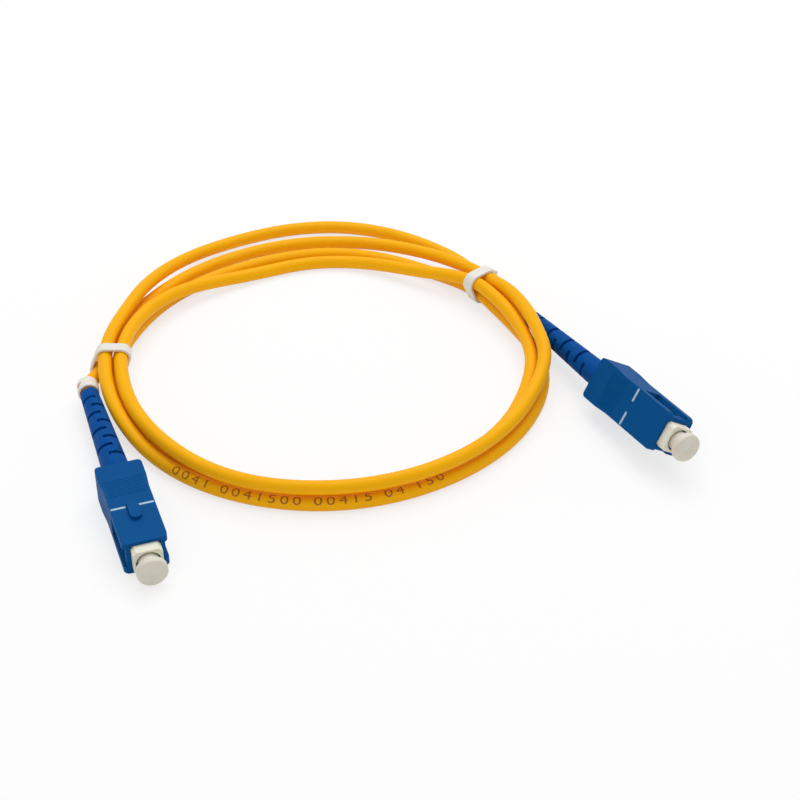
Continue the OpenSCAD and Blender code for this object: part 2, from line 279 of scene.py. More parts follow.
def zirconiaCeramic():
    finish = Finish("zirconia", {
        "IOR": 2.1,
        "Subsurface Weight": ceramicSkin["clearness"],
        "Subsurface Scale": ceramicSkin["clearDepth"],
    })
    clouds = finish.noise(ceramicSkin["cloudScale"], 3)
    return finish.use({
        "Base Color": finish.mixColor(clouds, ceramicSkin["color"], ceramicSkin["shade"]),
        "Roughness": ceramicSkin["roughness"] + (clouds - 0.5) * ceramicSkin["wear"],
    })


def printInk():
    finish = Finish("printInk", {"IOR": 1.45})
    wear = finish.noise(inkSkin["wearScale"], 4, 0.7)
    return finish.use({
        "Base Color": finish.mixColor(wear, inkSkin["color"], inkSkin["worn"]),
        "Roughness": inkSkin["roughness"] + (wear - 0.5) * inkSkin["wear"],
    })


materials = {
    "jacket": jacketPlastic(),
    "housing": mouldedPlastic("housingBlue", linear(0, 84, 148), linear(0, 78, 140), 0.54, 0.25, 0.06),
    "boot": mouldedPlastic("bootBlue", linear(0, 80, 156), linear(0, 74, 148), 0.55, 0.35, 0.06),
    "frame": mouldedPlastic("frameCream", linear(244, 240, 224), linear(238, 233, 214), 0.4, 0.2),
    "cap": capPlastic(),
    "tie": mouldedPlastic("tieWhite", linear(240, 238, 232), linear(230, 227, 219), 0.5, 0.4),
    "mark": mouldedPlastic("markPaint", linear(176, 205, 225), linear(160, 192, 216), 0.55, 0.3),
    "nickel": metal("nickel", linear(196, 196, 198), 0.28, 0.1),
    "steel": metal("springSteel", linear(190, 192, 196), 0.22, 0.05),
    "ceramic": zirconiaCeramic(),
    "buffer": mouldedPlastic("bufferCream", linear(240, 235, 215), linear(232, 226, 204), 0.5, 0.2),
    "ink": printInk(),
}
print("materials made")


def clearSelection():
    if bpy.context.object and bpy.context.object.mode != "OBJECT":
        bpy.ops.object.mode_set(mode="OBJECT")
    bpy.ops.object.select_all(action="DESELECT")


def select(piece):
    clearSelection()
    piece.select_set(True)
    bpy.context.view_layer.objects.active = piece


def addBlock(name, low, high):    # a box between two corners
    clearSelection()
    low, high = Vector(low), Vector(high)
    bpy.ops.mesh.primitive_cube_add(size=1, location=(low + high) / 2)
    block = bpy.context.object
    block.name = name
    block.scale = high - low
    bpy.ops.object.transform_apply(location=True, rotation=True, scale=True)
    return block


def middleBlock(name, width, height, front, back):    # a box round the plug's own line
    return addBlock(name, (-width / 2, front, -height / 2), (width / 2, back, height / 2))


def editAll():    # edge mode, with all of the active piece selected
    bpy.context.tool_settings.mesh_select_mode = (False, True, False)
    bpy.ops.object.mode_set(mode="EDIT")
    bpy.ops.mesh.select_all(action="SELECT")


def closeEdit():    # all faces point outwards
    bpy.ops.mesh.select_all(action="SELECT")
    bpy.ops.mesh.normals_make_consistent(inside=False)
    bpy.ops.object.mode_set(mode="OBJECT")


def pickEdges(piece, rule):    # leaves the piece in edit mode with those edges selected
    select(piece)
    bpy.context.tool_settings.mesh_select_mode = (False, True, False)
    mesh = piece.data
    for face in mesh.polygons:
        face.select = False
    for corner in mesh.vertices:
        corner.select = False
    for edge in mesh.edges:
        first, second = (mesh.vertices[i].co for i in edge.vertices)
        edge.select = bool(rule(first, second))
    bpy.ops.object.mode_set(mode="EDIT")


def bevelEdges(piece, rule, width, steps):
    pickEdges(piece, rule)
    bpy.ops.mesh.bevel(offset=width, segments=steps, profile=0.5, affect="EDGES")
    bpy.ops.object.mode_set(mode="OBJECT")


def turned(name, profile, sides=64):    # extrudes a ring from station to station: (back, radius)
    clearSelection()
    back, radius = profile[0]
    bpy.ops.mesh.primitive_circle_add(
        vertices=sides, radius=radius, location=(0, back, 0), rotation=(math.pi / 2, 0, 0)
    )
    piece = bpy.context.object
    piece.name = name
    bpy.ops.object.transform_apply(location=True, rotation=True, scale=True)
    closedRing = profile[0] == profile[-1]
    editAll()
    if not closedRing:    # the first end gets a face, and a copy of its edge is drawn on
        bpy.ops.mesh.duplicate()
        bpy.ops.mesh.edge_face_add()
        bpy.ops.mesh.select_all(action="DESELECT")
        bpy.ops.mesh.select_non_manifold(
            extend=False, use_boundary=False, use_wire=True,
            use_multi_face=False, use_non_contiguous=False, use_verts=False,
        )
    for nextBack, nextRadius in profile[1:]:
        bpy.ops.mesh.extrude_region_move(TRANSFORM_OT_translate={"value": (0, nextBack - back, 0)})
        share = nextRadius / radius
        bpy.ops.transform.resize(value=(share, 1, share), center_override=(0, nextBack, 0))
        back, radius = nextBack, nextRadius
    if not closedRing:
        bpy.ops.mesh.edge_face_add()
    bpy.ops.mesh.select_all(action="SELECT")
    bpy.ops.mesh.remove_doubles(threshold=0.0005)
    closeEdit()
    return piece


def applyStep(piece, kind, **settings):    # adds a modifier and applies it
    select(piece)
    step = piece.modifiers.new("step", kind)
    for name, value in settings.items():
        setattr(step, name, value)
    bpy.ops.object.modifier_apply(modifier=step.name)


def combine(piece, other, operation):    # cuts the other piece away, or joins it on
    applyStep(piece, "BOOLEAN", operation=operation, solver="EXACT", object=other)
    bpy.data.objects.remove(other)


def joined(pieces):
    clearSelection()
    for piece in pieces:
        piece.select_set(True)
    bpy.context.view_layer.objects.active = pieces[0]
    bpy.ops.object.join()
    return pieces[0]


def roundEdges(piece, width, steps=2, angle=35):
    applyStep(piece, "BEVEL", width=width, segments=steps,
              limit_method="ANGLE", angle_limit=math.radians(angle))


def smoothShading(piece, angle=50):    # flats stay flat, and rounded edges are smooth
    select(piece)
    bpy.ops.object.shade_smooth_by_angle(angle=math.radians(angle))
    applyStep(piece, "WEIGHTED_NORMAL", keep_sharp=True)


def settle(piece, name, place, finish, slot, body, *nodes):    # puts a copy of a piece in its place
    copy = bpy.data.objects.new(name, piece.data.copy())
    bpy.context.scene.collection.objects.link(copy)
    copy.data.name = name
    copy.data.transform(Matrix.Scale(mm, 4) @ place)
    copy.data.materials.clear()
    copy.data.materials.append(materials[finish])
    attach(copy, body)
    if nodes:
        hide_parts(*nodes)
    return copy


def settleBoth(piece, name, finish, slot, body, node=None):    # one copy on each plug
    made = {}
    for end in places:
        nodes = [f"{node}_{end}"] if node else []
        made[end] = settle(piece, f"{name}_{end}", places[end], finish, slot, body.format(end), *nodes)
    bpy.data.objects.remove(piece)
    return made


# the coil starts at the left tie and runs clockwise, seen from above
cord = {
    "diameter": 3.0,
    "coilCenter": (53.3, 39.1),
    "coilRadius": 47.0,
    "pitch": 3.65,                # from turn to turn where they lie side by side
    "leftTieAngle": 163.0,        # where the coil's first degree is, round its centre
    "leftTieTurn": -0.8,
    "rightTieTurn": 143.0,
    "firstAngle": -2.5,
    "lastAngle": 1227.5,
    "step": 2.5,
    "leadSpacing": 1.5,
    "sides": 24,
}
stations = [0, 20, 35, 62, 92, 120, 143, 153, 164, 175, 187, 208, 240, 270, 295, 320, 345]
lanes = [    # in pitches out from the coil's radius, a row for each turn
    [1.05, 0.85, 0.85, 1.1, 1.3, 0.5, -0.3, -0.25, -0.35, -0.25,
     0.05, -0.15, 0, 0.2, 0.3, -0.1, -0.3],
    [-0.3, -0.45, -0.75, -1.45, -1.2, -1.75, -1.3, -1.2, -1.05, -0.82,
     -0.7, -0.88, -0.84, -0.6, -0.5, -0.45, -0.12],
    [0.05, -0.15, -0.15, -0.35, -0.2, -0.75, -0.9, -0.95, -0.75, -0.35,
     0, 0.1, 0.14, 0.38, 0.48, 0.53, 0.65],
    [0.65, 0.7, 1.25, 2.75, 3.25, 1.85, 0.1, 0.15, 0.2],
]
layers = [    # in pitches above the table
    [0.25, 0.1, 0, 0, 0, 0.5, 1.2, 1.4, 1.65, 1.65, 1.45, 1.05, 1, 1, 1, 1, 1.1],
    [1.2, 1.05, 0.8, 0.1, 0, 0.5, 1.2, 1.15, 1, 0.85, 0.72, 0.05, 0, 0, 0, 0, 0.1],
    [0.25, 0.1, 0, 0, 0, 0, 0.25, 0.1, 0, 0, 0, 0, 0, 0, 0, 0.15, 0.95],
    [1.25, 1.1, 0.95, 0.1, 0, 0, 0.25, 0.25, 0.45],
]
leadA = [    # from inside boot A to the coil, and the one point from the coil to boot B
    (0, 20, 3.7), (0, 31, 3.7), (0, 42.5, 3.7), (0.05, 44, 3.68), (0.35, 46.4, 3.45), (1.05, 47.8, 2.95),
]
leadB = [(100.2, 43, 3.35)]


def planOfTurns():    # angle, radius and height at each station
    plan = []
    for turn, (row, heights) in enumerate(zip(lanes, layers)):
        for angle, lane, layer in zip(stations, row, heights):
            plan.append(Vector((
                360 * turn + angle,
                cord["coilRadius"] + cord["pitch"] * lane,
                cord["diameter"] / 2 + cord["pitch"] * layer,
            )))
    return plan


plan = planOfTurns()


def smoothPoint(points, i, t):    # a cubic through the points, whose first number is where they lie
    def slope(j):
        low, high = max(j - 1, 0), min(j + 1, len(points) - 1)
        return (points[high] - points[low]) / (points[high][0] - points[low][0])
    span = points[i + 1][0] - points[i][0]
    return (
        (2 * t ** 3 - 3 * t ** 2 + 1) * points[i] + (t ** 3 - 2 * t ** 2 + t) * span * slope(i)
        + (3 * t ** 2 - 2 * t ** 3) * points[i + 1] + (t ** 3 - t ** 2) * span * slope(i + 1)
    )


def coilPoint(angle):
    i = max(j for j in range(len(plan) - 1) if j == 0 or plan[j][0] <= angle)
    spot = smoothPoint(plan, i, (angle - plan[i][0]) / (plan[i + 1][0] - plan[i][0]))
    heading = math.radians(cord["leftTieAngle"] - angle)
    x = cord["coilCenter"][0] + spot[1] * math.cos(heading)
    y = cord["coilCenter"][1] + spot[1] * math.sin(heading)
    return Vector((x, y, max(spot[2], cord["diameter"] / 2)))


def smoothLine(points, spacing):    # the same cubic in space, by distance along the points
    marked = [Vector((0, *points[0]))]
    for before, after in zip(points, points[1:]):
        marked.append(Vector((marked[-1][0] + (Vector(after) - Vector(before)).length, *after)))
    line = []
    for i in range(len(marked) - 1):
        count = max(1, round((marked[i + 1][0] - marked[i][0]) / spacing))
        line += [Vector(smoothPoint(marked, i, k / count)[1:]) for k in range(count)]
    return line + [Vector(points[-1])]


def cordLine():
    steps = round((cord["lastAngle"] - cord["firstAngle"]) / cord["step"])
    turns = [coilPoint(cord["firstAngle"] + cord["step"] * k) for k in range(steps + 1)]
    tailB = places["b"] @ Vector((0, plug["bootTail"], 0))
    insideB = places["b"] @ Vector((0, plug["jacketEnd"], 0))
    start = [*leadA, tuple(turns[0]), tuple(turns[1])]
    finish = [tuple(turns[-2]), tuple(turns[-1]), *leadB, tuple(tailB), tuple(insideB)]
    spacing = cord["leadSpacing"]
    return smoothLine(start, spacing)[:-1] + turns[1:-2] + smoothLine(finish, spacing)


def ringFrames(line):    # a level side and an up for each point
    frames = []
    for i, point in enumerate(line):
        ahead = (line[min(i + 1, len(line) - 1)] - line[max(i - 1, 0)]).normalized()
        side = ahead.cross(Vector((0, 0, 1))).normalized()
        frames.append((point, side, side.cross(ahead)))
    return frames


def makeTube(name, line, radius, sides):
    corners = []
    for point, side, up in ringFrames(line):
        for k in range(sides):
            turn = 2 * math.pi * k / sides
            corners.append((point + radius * (math.cos(turn) * side + math.sin(turn) * up)) * mm)
    faces = []
    for i in range(len(line) - 1):
        near, far = i * sides, (i + 1) * sides
        for k in range(sides):
            after = (k + 1) % sides
            faces.append((near + k, far + k, far + after, near + after))
    last = (len(line) - 1) * sides
    faces.append(tuple(range(sides)))
    faces.append(tuple(last + k for k in reversed(range(sides))))
    mesh = bpy.data.meshes.new(name)
    mesh.from_pydata(corners, [], faces)
    piece = bpy.data.objects.new(name, mesh)
    bpy.context.scene.collection.objects.link(piece)
    select(piece)
    editAll()
    closeEdit()
    bpy.ops.object.shade_smooth_by_angle(angle=math.radians(60))
    return piece


line = cordLine()
jacket = makeTube("jacket", line, cord["diameter"] / 2, cord["sides"])
jacket.data.materials.append(materials["jacket"])
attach(jacket, "cord_set")
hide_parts("cord_lead_a", "cord_coil", "cord_lead_b")
cordLength = sum((after - before).length for before, after in zip(line, line[1:])) * mm
print("cord made,", round(cordLength, 3), "m long")


housing = {
    "cornerRadius": 1.2,      # of the four upright corners at the front
    "cornerSteps": 6,
    "rearCorner": 0.9,
    "rearSteps": 3,
    "gripStart": 16.0,        # where the body starts to widen, and where it is full
    "gripFull": 20.0,
    "tunnel": 5.92,
    "windowFront": 1.7,
    "windowBack": 10.7,
    "windowHeight": 4.4,
    "barWidth": 7.7,          # over the two bars in front of the windows
    "keyWidth": 2.2,
    "keyHeight": 0.8,
    "keyRoot": 0.5,           # how deep the key starts, inside the body
    "keyFront": 6.5,
    "keyBack": 11.5,
    "keyFlat": 0.02,          # left between the two rounded corners of its nose
    "keySteps": 8,
    "ridgeWidth": 7.8,
    "ridgeFirst": 14.5,
    "ridgePitch": 0.7,
    "ridgeCount": 8,
    "ridgeCut": 0.06,
    "cut": 0.1,
    "edge": 0.2,
    "cutEdge": 0.05,
}
mark = {    # two short painted slots on each broad face
    "back": 11.0,
    "length": 3.1,
    "width": 0.65,
    "out": 2.8,
    "endGap": 0.05,
    "sideGap": 0.03,
    "raised": 0.01,           # the paint's middle, above the bottom of the slot
    "halfPaint": 0.07,
    "edge": 0.03,
}


def shapeBody():    # the rounded box, wider at the grip
    values, width, length = housing, plug["bodyWidth"], plug["bodyLength"]
    body = middleBlock("outerHousing", width, plug["bodyHeight"], 0, length)
    bevelEdges(body, lambda a, b: a.y < nearly and b.y < nearly and abs(a.x - b.x) < nearly,
               values["cornerRadius"], values["cornerSteps"])
    for back in (values["gripStart"], values["gripFull"]):
        bpy.ops.object.mode_set(mode="EDIT")
        bpy.ops.mesh.select_all(action="SELECT")
        bpy.ops.mesh.bisect(plane_co=(0, back, 0), plane_no=(0, 1, 0))
        bpy.ops.object.mode_set(mode="OBJECT")
    pickEdges(body, lambda a, b: min(a.y, b.y) > values["gripFull"] - nearly)
    bpy.ops.transform.resize(value=(plug["gripWidth"] / width, 1, 1), center_override=(0, 0, 0))
    bpy.ops.object.mode_set(mode="OBJECT")
    bevelEdges(body, lambda a, b: min(a.y, b.y) > length - nearly and abs(a.x - b.x) < nearly,
               values["rearCorner"], values["rearSteps"])
    return body


def shapeKey():
    values, top = housing, plug["bodyHeight"] / 2
    key = addBlock("key", (-values["keyWidth"] / 2, values["keyFront"], top - values["keyRoot"]),
                   (values["keyWidth"] / 2, values["keyBack"], top + values["keyHeight"]))
    bevelEdges(key, lambda a, b: max(a.y, b.y) < values["keyFront"] + nearly and abs(a.x - b.x) < nearly,
               values["keyWidth"] / 2 - values["keyFlat"], values["keySteps"])
    return key


def shallowCuts():    # the finger ridges and the slots for the paint
    values, cuts = housing, []
    half, deep = values["ridgeWidth"] / 2, values["ridgeCut"]
    for face in (-1, 1):
        level = face * plug["bodyHeight"] / 2
        for i in range(values["ridgeCount"]):
            back = values["ridgeFirst"] + values["ridgePitch"] * i
            cuts.append(addBlock("cut", (-half, back, level - deep),
                                 (half, back + values["ridgePitch"] / 2, level + deep)))
        for side in (-1, 1):
            left = side * mark["out"] - mark["length"] / 2
            right = side * mark["out"] + mark["length"] / 2
            front, back = mark["back"] - mark["width"] / 2, mark["back"] + mark["width"] / 2
            cuts.append(addBlock("cut", (left, front, level - values["cut"]),
                                 (right, back, level + values["cut"])))
    return joined(cuts)


def makeHousing():
    values, length = housing, plug["bodyLength"]
    body = shapeBody()
    combine(body, shapeKey(), "UNION")
    tunnel = middleBlock("tunnel", values["tunnel"], values["tunnel"], -past, length + past)
    combine(body, tunnel, "DIFFERENCE")
    window = middleBlock("window", plug["gripWidth"] + past, values["windowHeight"],
                         values["windowFront"], values["windowBack"])
    combine(body, window, "DIFFERENCE")
    for side in (-1, 1):
        middle = side * (values["barWidth"] + 2 * past) / 2
        recess = addBlock("recess", (middle - past, -past, -values["windowHeight"] / 2),
                          (middle + past, values["windowFront"] + nearly, values["windowHeight"] / 2))
        combine(body, recess, "DIFFERENCE")
    cuts = shallowCuts()
    roundEdges(body, values["edge"], 3)
    combine(body, cuts, "DIFFERENCE")
    roundEdges(body, values["cutEdge"], 2)
    smoothShading(body)
    return body


def makeMarks():
    strips = []
    for face in (-1, 1):
        level = face * (plug["bodyHeight"] / 2 - housing["cut"] + mark["raised"])
        low, high = level - mark["halfPaint"], level + mark["halfPaint"]
        front = mark["back"] - mark["width"] / 2 + mark["sideGap"]
        back = mark["back"] + mark["width"] / 2 - mark["sideGap"]
        for side in (-1, 1):
            left = side * mark["out"] - mark["length"] / 2 + mark["endGap"]
            right = side * mark["out"] + mark["length"] / 2 - mark["endGap"]
            strips.append(addBlock("strip", (left, front, low), (right, back, high)))
    marks = joined(strips)
    roundEdges(marks, mark["edge"], 2)
    smoothShading(marks)
    return marks


settleBoth(makeHousing(), "outerHousing", "housing", "housing_blue", "housing_{}", "outer_housing")
settleBoth(makeMarks(), "paintMarks", "mark", "tie_white", "housing_{}")
print("housings made")


plugFrame = {
    "width": 5.8,
    "out": 2.2,              # how far it stands out of the housing
    "back": 17.4,
    "chamfer": 0.7,
    "bore": 4.9,
    "ledgeFront": 3.4,       # the ledge that holds the ferrule's flange
    "ledgeBack": 4.4,
    "ledgeBore": 3.0,
    "rearBore": 4.7,
    "catchRoot": 0.3,
    "catchOut": 0.5,
    "catchFront": 3.3,
    "catchBack": 10.6,
    "catchHeight": 3.0,
    "catchRamp": 0.7,
    "edge": 0.1,
}


def makePlugFrame():
    values, half = plugFrame, plugFrame["width"] / 2
    body = middleBlock("plugFrame", values["width"], values["width"], -values["out"], values["back"])
    bevelEdges(body, lambda a, b: abs(a.y - b.y) > nearly, values["chamfer"], 1)    # the four long edges
    for side in (-1, 1):
        inner, outer = side * (half - values["catchRoot"]), side * (half + values["catchOut"])
        catch = addBlock("catch", (min(inner, outer), values["catchFront"], -values["catchHeight"] / 2),
                         (max(inner, outer), values["catchBack"], values["catchHeight"] / 2))
        bevelEdges(catch, lambda a, b: abs(a.x - outer) < nearly and abs(b.x - outer) < nearly
                   and max(a.y, b.y) < values["catchFront"] + nearly, values["catchRamp"], 1)
        combine(body, catch, "UNION")
    bore, ledge, rear = values["bore"] / 2, values["ledgeBore"] / 2, values["rearBore"] / 2
    bores = turned("bores", [
        (-values["out"] - past, bore), (values["ledgeFront"], bore), (values["ledgeFront"], ledge),
        (values["ledgeBack"], ledge), (values["ledgeBack"], rear), (values["back"] + past, rear),
    ])
    combine(body, bores, "DIFFERENCE")
    roundEdges(body, values["edge"], 3)
    smoothShading(body)
    return body


settleBoth(makePlugFrame(), "plugFrame", "frame", "frame_cream", "cord_set", "plug_frame")
print("plug frames made")


boot = {
    "diameter": 5.6,
    "tailDiameter": 4.0,
    "tailRound": [(0.25, 0), (0.07, 0.08), (0, 0.26)],    # in from the end, in from the outside
    "front": 18.2,
    "collarBack": 29.0,
    "bore": 3.08,
    "crimpBore": 4.48,
    "crimpBack": 28.1,
    "slotCount": 8,
    "slotFirst": 0.8,
    "slotRoom": 2,           # the slots share the taper, apart from this much
    "slotWidth": 0.9,
    "slotCore": 3.55,
    "slotReach": 4,
    "pastMiddle": 0.7,       # each slot goes a little over half way round
    "edge": 0.14,
    "sides": 72,
    "slotSides": 48,
}


def makeSlot(back, side):    # half a ring, to be cut out of the boot on one side
    core, reach, far = boot["slotCore"] / 2, boot["slotReach"], back + boot["slotWidth"]
    profile = [(back, core), (back, reach), (far, reach), (far, core), (back, core)]
    slot = turned("slot", profile, boot["slotSides"])
    near, wide = -side * boot["pastMiddle"], reach + past
    keep = addBlock("keep", (min(near, side * wide), back - past, -wide),
                    (max(near, side * wide), back + 2 * past, wide))
    combine(slot, keep, "INTERSECT")
    return slot


def makeBoot():
    values, tail = boot, plug["bootTail"]
    outer, tailOuter = values["diameter"] / 2, values["tailDiameter"] / 2
    bore, crimpBore = values["bore"] / 2, values["crimpBore"] / 2
    body = turned("boot", [
        (values["front"], crimpBore), (values["front"], outer), (values["collarBack"], outer),
        *[(tail - ahead, tailOuter - inward) for ahead, inward in values["tailRound"]],
        (tail, bore), (values["crimpBack"], bore), (values["crimpBack"], crimpBore),
        (values["front"], crimpBore),
    ], values["sides"])
    pitch = (tail - values["collarBack"] - values["slotRoom"]) / values["slotCount"]
    slots = []
    for i in range(values["slotCount"]):
        side = 1 if i % 2 == 0 else -1
        slots.append(makeSlot(values["collarBack"] + values["slotFirst"] + pitch * i, side))
    combine(body, joined(slots), "DIFFERENCE")
    roundEdges(body, values["edge"], 3, 40)
    smoothShading(body)
    return body


settleBoth(makeBoot(), "bendBoot", "boot", "boot_blue", "cord_set", "boot")
print("boots made")


cap = {
    "head": 6.2,
    "headBack": -4.0,
    "headFront": -5.6,
    "dish": [(0.12, 0.9), (0, 1.15)],     # the shallow dish in the front face: depth, radius
    "frontRound": [(0, 0.45), (0.06, 0.24), (0.2, 0.08), (0.42, 0)],    # back, in from the rim
    "backRound": [(0.25, 0), (0.08, 0.08), (0, 0.25)],                  # ahead, in from the rim
    "fillet": 0.15,
    "neck": 4.2,
    "neckEnd": 2.6,
    "neckTaper": (0.4, 0.3),
    "hole": 2.58,
    "holeFront": -3.0,
    "holeEdge": (0.2, 0.15),
    "sides": 72,
}


def makeCap():
    values = cap
    rim, neck, hole = values["head"] / 2, values["neck"] / 2, values["hole"] / 2
    front, back, end = values["headFront"], values["headBack"], values["neckEnd"]
    (taper, narrowing), (edge, widening) = values["neckTaper"], values["holeEdge"]
    body = turned("dustCap", [
        (front + values["dish"][0][0], axisRadius),
        *[(front + deep, radius) for deep, radius in values["dish"]],
        *[(front + behind, rim - inward) for behind, inward in values["frontRound"]],
        *[(back - ahead, rim - inward) for ahead, inward in values["backRound"]],
        (back, neck + values["fillet"]), (back + values["fillet"], neck),
        (end - taper, neck), (end, neck - narrowing),
        (end, hole + widening), (end - edge, hole),
        (values["holeFront"], hole), (values["holeFront"], axisRadius),
    ], values["sides"])
    smoothShading(body)
    return body


settleBoth(makeCap(), "dustCap", "cap", "cap_cream", "dust_cap_{}", "dust_cap")
print("caps made")


ferrule = {
    "diameter": 2.5,
    "front": -2.6,
    "back": 7.9,
    "dome": [(0, axisRadius), (0.004, 0.35), (0.02, 0.7)],    # the polished tip: back, radius
    "chamferFront": (0.1, 0.3),                               # back, in from the outside
    "chamfer": 0.5,
    "rearEdge": 0.15,
}
spring = {
    "wire": 0.4,
    "wireSides": 12,
    "coilRadius": 1.9,
    "coils": 6,
    "steps": 32,        # in each coil
    "front": 6.6,
    "back": 12.9,
    "travel": 1.0,
}


def makeFerrule():
    values, edge = ferrule, ferrule["rearEdge"]
    radius, front, back = values["diameter"] / 2, values["front"], values["back"]
    behind, inward = values["chamferFront"]
    body = turned("ferrule", [
        *[(front + deep, reach) for deep, reach in values["dome"]],
        (front + behind, radius - inward), (front + values["chamfer"], radius),
        (back - edge, radius), (back, radius - edge), (back, axisRadius),
    ])
    smoothShading(body, 20)
    return body


def makeSpring():
    clearSelection()
    length = spring["back"] - spring["front"]
    spot = (spring["coilRadius"], spring["front"] + spring["wire"] / 2, 0)
    bpy.ops.mesh.primitive_circle_add(
        vertices=spring["wireSides"], radius=spring["wire"] / 2, location=spot
    )
    wire = bpy.context.object
    bpy.ops.object.transform_apply(location=True, rotation=True, scale=True)
    applyStep(wire, "SCREW", axis="Y", angle=2 * math.pi, iterations=spring["coils"],
              screw_offset=(length - spring["wire"]) / spring["coils"],
              steps=spring["steps"], render_steps=spring["steps"])
    editAll()
    bpy.ops.mesh.fill_holes(sides=0)
    closeEdit()
    smoothShading(wire)
    return wire


settleBoth(makeFerrule(), "ceramicFerrule", "ceramic", "zirconia", "ferrule_{}", "ferrule")
springs = settleBoth(makeSpring(), "ferruleSpring", "steel", "spring_steel", "cord_set", "spring")
for end, made in springs.items():    # each spring gets a mesh of its own; in the real plug the ferrule's flange shortens the spring against the stop ring
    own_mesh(made)
for end in places:    # the other inner pieces are shown as they are in the CAD
    for node, finish in (("ferrule_flange", "nickel"), ("stop_ring", "nickel"),
                         ("crimp_ring", "nickel"), ("buffer", "buffer")):
        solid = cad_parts[f"{node}_{end}"]
        solid.data.materials.clear()
        solid.data.materials.append(materials[finish])
print("inner pieces finished")


tie = {
    "width": 2.6,
    "thickness": 0.6,
    "gap": 0.06,
    "spread": 1.6,           # degrees to each side of the tie where it still has to clear the turns
    "around": 96,
    "slices": 4,
    "tabLength": 2.0,
    "tabSlant": 35,
    "tabGap": 0.05,
    "tabInset": 0.1,
    "edge": 0.16,
}


def strandSpots(turn):    # where the turns pass a tie, outward and up
    heading = math.radians(cord["leftTieAngle"] - turn)
    outward = Vector((math.cos(heading), math.sin(heading), 0))
    center = Vector((*cord["coilCenter"], 0))
    spots = []
    for k in range(len(lanes)):
        for edge in (-tie["spread"], 0, tie["spread"]):
            point = coilPoint(360 * k + turn + edge) - center
            spots.append((point.dot(outward), point.z))
    return spots, outward, center


def addTab(band, spots, reach):    # the band's loose end, on the strand that is highest and furthest out
    top = max(spots, key=lambda spot: spot[0] + spot[1])
    low, half = reach + tie["tabGap"], tie["width"] / 2 - tie["tabInset"]
    tab = addBlock("tab", (0, -half, low), (tie["tabLength"], half, low + tie["thickness"]))
    tab.data.transform(Matrix.Translation((top[0], 0, top[1])) @ degreesMatrix(tie["tabSlant"], "Y"))
    combine(band, tab, "UNION")


def makeTie(name, node, turn, tabbed):
    spots, outward, center = strandSpots(turn)
    clearSelection()
    bpy.ops.mesh.primitive_circle_add(vertices=tie["around"], radius=1)
    band = bpy.context.object
    reach = cord["diameter"] / 2 + tie["gap"]
    for corner in band.data.vertices:    # moves the circle out to a snug outline round the strands
        x, z = corner.co.x, corner.co.y
        far = max(spots, key=lambda spot: spot[0] * x + spot[1] * z)
        corner.co = (far[0] + reach * x, -tie["width"] / 2, far[1] + reach * z)
    editAll()
    across = (0, tie["width"] / tie["slices"], 0)
    for k in range(tie["slices"]):
        bpy.ops.mesh.extrude_region_move(TRANSFORM_OT_translate={"value": across})
    closeEdit()
    applyStep(band, "SOLIDIFY", thickness=tie["thickness"], offset=1)
    if tabbed:
        addTab(band, spots, reach)
    roundEdges(band, tie["edge"], 3, 40)
    smoothShading(band)
    ahead = Vector((0, 0, 1)).cross(outward)
    place = Matrix((
        (outward.x, ahead.x, 0, center.x),
        (outward.y, ahead.y, 0, center.y),
        (0, 0, 1, 0),
        (0, 0, 0, 1),
    ))
    made = settle(band, name, place, "tie", "tie_white", "cord_set", node)
    bpy.data.objects.remove(band)
    return made


def flatWords(text, height, spacing, rows):    # level strips, so that strokes can bend round a cord
    clearSelection()
    bpy.ops.object.text_add()
    words = bpy.context.object
    words.data.body = text
    words.data.size = height * 1.4    # a digit is about 1 / 1.4 of its font size
    words.data.space_character = spacing
    words.data.align_y = "CENTER"
    bpy.ops.object.convert(target="MESH")
    words = bpy.context.object
    bpy.ops.object.mode_set(mode="EDIT")
    for k in range(-rows, rows + 1):
        bpy.ops.mesh.select_all(action="SELECT")
        bpy.ops.mesh.bisect(plane_co=(0, height / 2 * k / rows, 0), plane_no=(0, 1, 0))
    bpy.ops.mesh.select_all(action="SELECT")
    bpy.ops.mesh.quads_convert_to_tris()
    bpy.ops.object.mode_set(mode="OBJECT")
    return words


ring = {
    "diameter": 4.6,
    "length": 3.6,
    "bore": 3.6,
    "rimRound": [(0, 0.18), (0.06, 0.06), (0.2, 0)],    # in from the end, in from the outside
    "boreEdge": (0.12, 0.1),
    "spot": (0.15, 44.65, 3.62),
    "turn": -6,
    "tilt": -4,
    "digit": "4",
    "digitHeight": 1.9,
    "digitAngle": 145,    # round the ring, from the side towards the coil over its top
    "digitRows": 6,
    "lift": 0.012,
}
ringPlace = (
    Matrix.Translation(ring["spot"]) @ degreesMatrix(ring["turn"], "Z") @ degreesMatrix(ring["tilt"], "X")
)


def makeRing():
    half, outer, inner = ring["length"] / 2, ring["diameter"] / 2, ring["bore"] / 2
    edge, widening = ring["boreEdge"]
    body = turned("markerRing", [
        (-half, inner + widening),
        *[(-half + along, outer - inward) for along, inward in ring["rimRound"]],
        *[(half - along, outer - inward) for along, inward in reversed(ring["rimRound"])],
        (half, inner + widening), (half - edge, inner), (-half + edge, inner), (-half, inner + widening),
    ])
    smoothShading(body)
    made = settle(body, "markerRing", ringPlace, "tie", "tie_white", "cord_set", "marker_ring")
    bpy.data.objects.remove(body)
    return made


